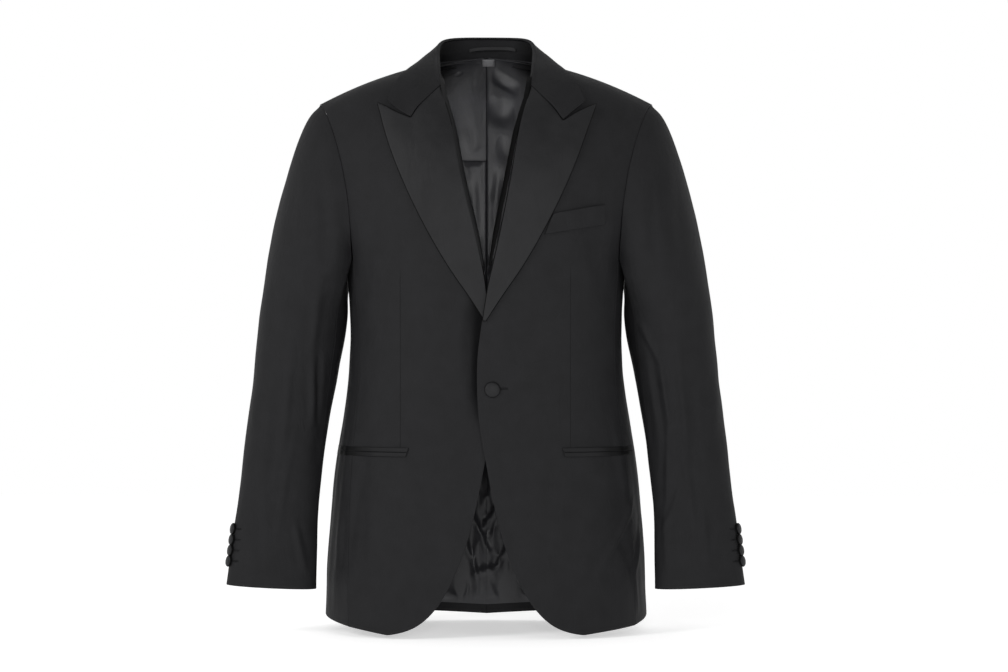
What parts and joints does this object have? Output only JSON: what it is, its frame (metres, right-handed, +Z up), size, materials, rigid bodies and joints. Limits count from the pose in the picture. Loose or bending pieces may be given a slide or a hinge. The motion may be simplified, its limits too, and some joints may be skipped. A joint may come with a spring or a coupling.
{
  "type": "dinner blazer filled out as worn",
  "caption": "Black dinner blazer with satin peak lapels, a covered front button, jetted hip pockets, a breast welt and lined back, filled out as worn with open neck, cuffs and hem.",
  "frame": {"origin": "middle of the neck hole at the height of the shoulder seams, where the wearer's neck and shoulders hold the garment", "axes": "+Z up along the body, -Y the front, +X the wearer's left"},
  "size_m": [0.7074, 0.2592, 0.8193],
  "materials": {
    "wool_cloth": "matte black wool",
    "satin_cloth": "soft black satin",
    "lining_cloth": "glossy black lining",
    "tab_cloth": "plain woven tab"
  },
  "bodies": {
    "root": {"back_left": "wool_cloth", "back_right": "wool_cloth", "breast_welt": "wool_cloth", "collar_leaf": "wool_cloth", "collar_stand": "wool_cloth", "cuff_button_left_1": "wool_cloth", "cuff_button_left_2": "wool_cloth", "cuff_button_left_3": "wool_cloth", "cuff_button_left_4": "wool_cloth", "cuff_button_right_1": "wool_cloth", "cuff_button_right_2": "wool_cloth", "cuff_button_right_3": "wool_cloth", "cuff_button_right_4": "wool_cloth", "facing_left": "satin_cloth", "facing_right": "satin_cloth", "front_button": "wool_cloth", "front_left": "wool_cloth", "front_right": "wool_cloth", "hanger_loop": "wool_cloth", "hip_jet_lower_left": "satin_cloth", "hip_jet_lower_right": "satin_cloth", "hip_jet_upper_left": "satin_cloth", "hip_jet_upper_right": "satin_cloth", "lapel_left": "satin_cloth", "lapel_right": "satin_cloth", "lining_back_left": "lining_cloth", "lining_back_right": "lining_cloth", "lining_flap": "lining_cloth", "neck_tab": "tab_cloth", "side_left": "wool_cloth", "side_right": "wool_cloth", "sleeve_top_left": "wool_cloth", "sleeve_top_right": "wool_cloth", "sleeve_under_left": "wool_cloth", "sleeve_under_right": "wool_cloth"}
  },
  "joints": []
}
